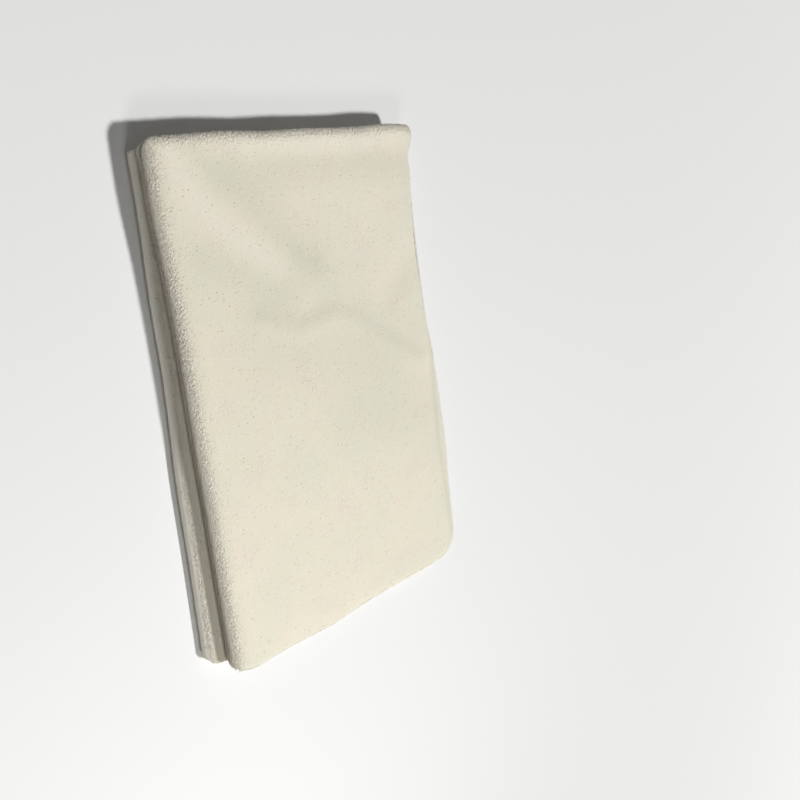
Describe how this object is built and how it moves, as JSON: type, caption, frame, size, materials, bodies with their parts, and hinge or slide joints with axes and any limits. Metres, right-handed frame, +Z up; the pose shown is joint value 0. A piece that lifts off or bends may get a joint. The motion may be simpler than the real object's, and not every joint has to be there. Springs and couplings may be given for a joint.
{
  "type": "chamois leather",
  "caption": "Soft cream chamois drying leather, folded double and then zig-zag into a flat rectangular bundle that opens at its folds.",
  "frame": {"origin": "on the resting face, under the middle of the top panel", "axes": "+X along the folds from the folded end to the cut ends, +Y across to the side with the single fold, +Z up out of the top face"},
  "size_m": [0.3174, 0.2141, 0.0183],
  "materials": {
    "chamois": "matt cream suede with a short soft nap and fine pores"
  },
  "bodies": {
    "bottom_panel": {"bottom_panel_lower_ply": "chamois", "bottom_panel_upper_ply": "chamois", "bottom_panel_end_fold": "chamois", "lower_left_fold_lower_half": "chamois"},
    "second_panel": {"second_panel_lower_ply": "chamois", "second_panel_upper_ply": "chamois", "second_panel_end_fold": "chamois", "lower_left_fold_upper_half": "chamois", "right_fold_lower_half": "chamois"},
    "third_panel": {"third_panel_lower_ply": "chamois", "third_panel_upper_ply": "chamois", "third_panel_end_fold": "chamois", "right_fold_upper_half": "chamois", "upper_left_fold_lower_half": "chamois"},
    "top_panel": {"top_panel_lower_ply": "chamois", "top_panel_upper_ply": "chamois", "top_panel_end_fold": "chamois", "upper_left_fold_upper_half": "chamois"}
  },
  "joints": [
    {"name": "lower_left_fold", "type": "hinge", "parent": "bottom_panel", "child": "second_panel", "pos_m": [0, -0.106, 0.00445], "axis": [0.9995, -0.0332, 0], "range_deg": [0, 180]},
    {"name": "right_fold", "type": "hinge", "parent": "second_panel", "child": "third_panel", "pos_m": [0, 0.102, 0.00915], "axis": [-1, -0.0087, 0], "range_deg": [0, 180]},
    {"name": "upper_left_fold", "type": "hinge", "parent": "third_panel", "child": "top_panel", "pos_m": [0, -0.1, 0.01385], "axis": [1, 0, 0], "range_deg": [0, 180]}
  ]
}
